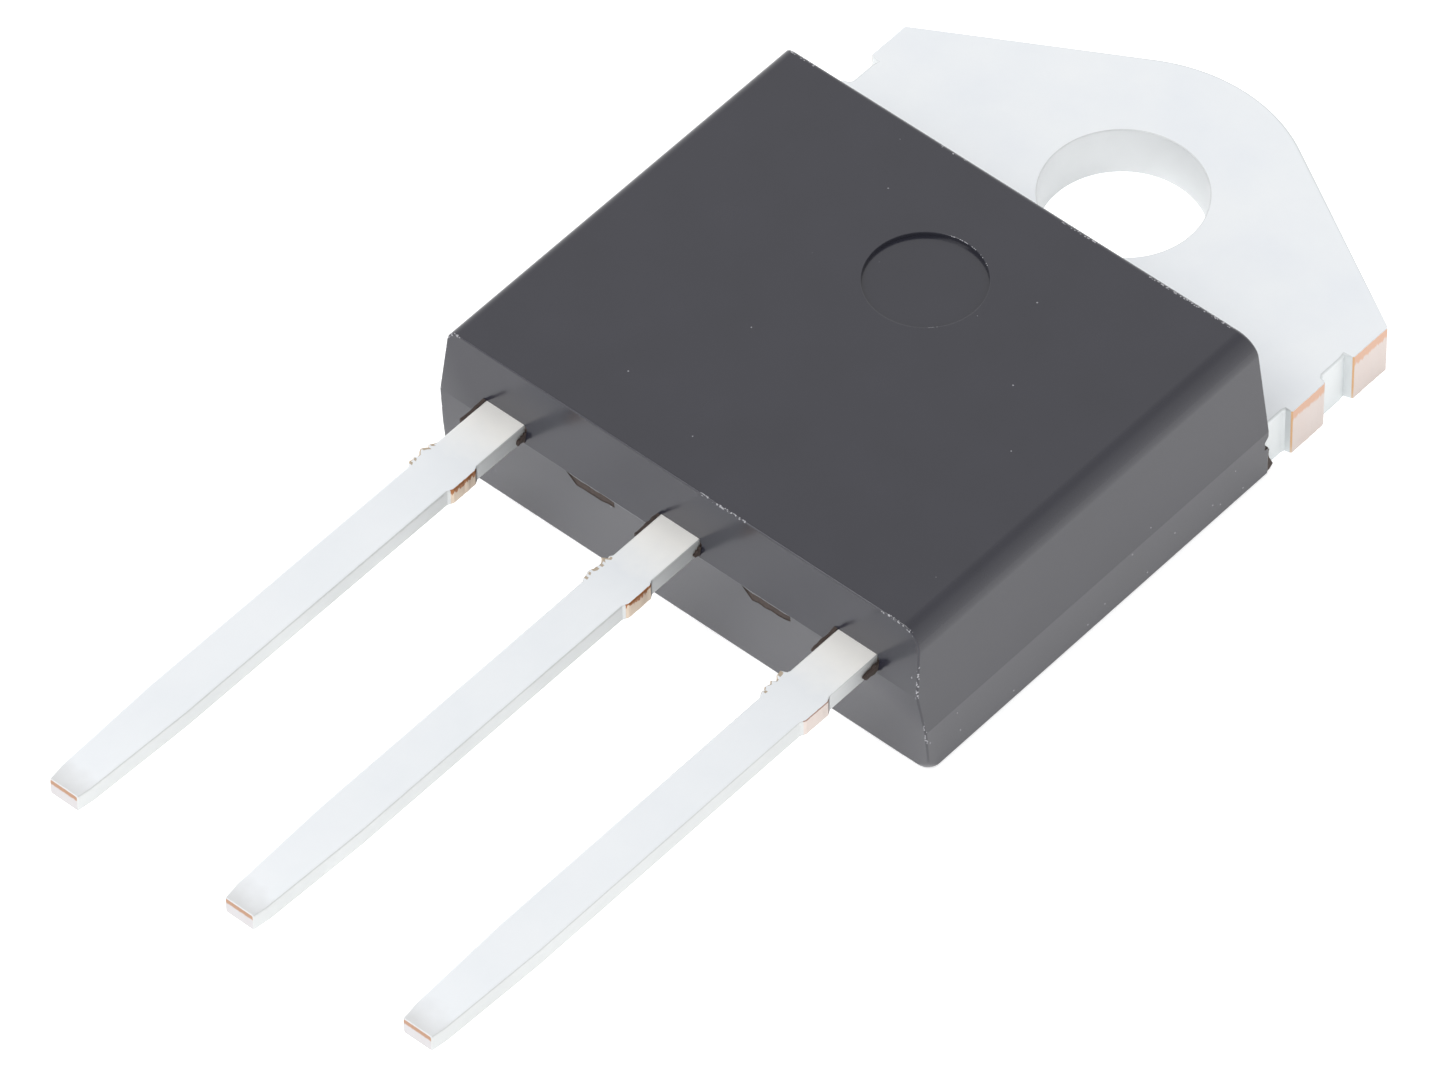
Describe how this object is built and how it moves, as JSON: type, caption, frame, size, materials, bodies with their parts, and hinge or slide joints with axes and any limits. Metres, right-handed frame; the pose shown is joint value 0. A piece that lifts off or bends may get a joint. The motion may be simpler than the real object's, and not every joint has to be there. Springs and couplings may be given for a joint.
{
  "type": "triac",
  "caption": "Through-hole power triac: black moulded body on an isolated metal tab with a screw hole and rounded end, and straight flat leads with cut tie-bar stubs.",
  "frame": {"origin": "centre of the tab's screw hole, on the back face that lies on the heatsink", "axes": "+X to the right seen from the lead end with the moulded front up, +Y towards the rounded tab end (the leads run to -Y), +Z out of the moulded front face along the hole"},
  "size_m": [0.0152, 0.0359, 0.0045],
  "materials": {
    "moulding_compound": "fine spark-eroded mould finish, semi-matt black epoxy",
    "tinned_copper": "bright tin plating with fine stamping lines",
    "solder": "dull grey reflowed solder",
    "alumina": "fired off-white alumina",
    "silicon": "polished grey silicon with a passivated rim",
    "copper": "bare rolled copper"
  },
  "bodies": {
    "root": {"case": "moulding_compound", "heatsink_tab": "tinned_copper", "substrate_solder": "solder", "ceramic_insulator": "alumina", "pad_solder": "solder", "lead_a2": "tinned_copper", "die_solder": "solder", "triac_die": "silicon", "a1_solder": "solder", "a1_clip": "copper", "a1_lead_solder": "solder", "lead_a1": "tinned_copper", "gate_solder": "solder", "gate_clip": "copper", "gate_lead_solder": "solder", "lead_gate": "tinned_copper"}
  },
  "joints": []
}
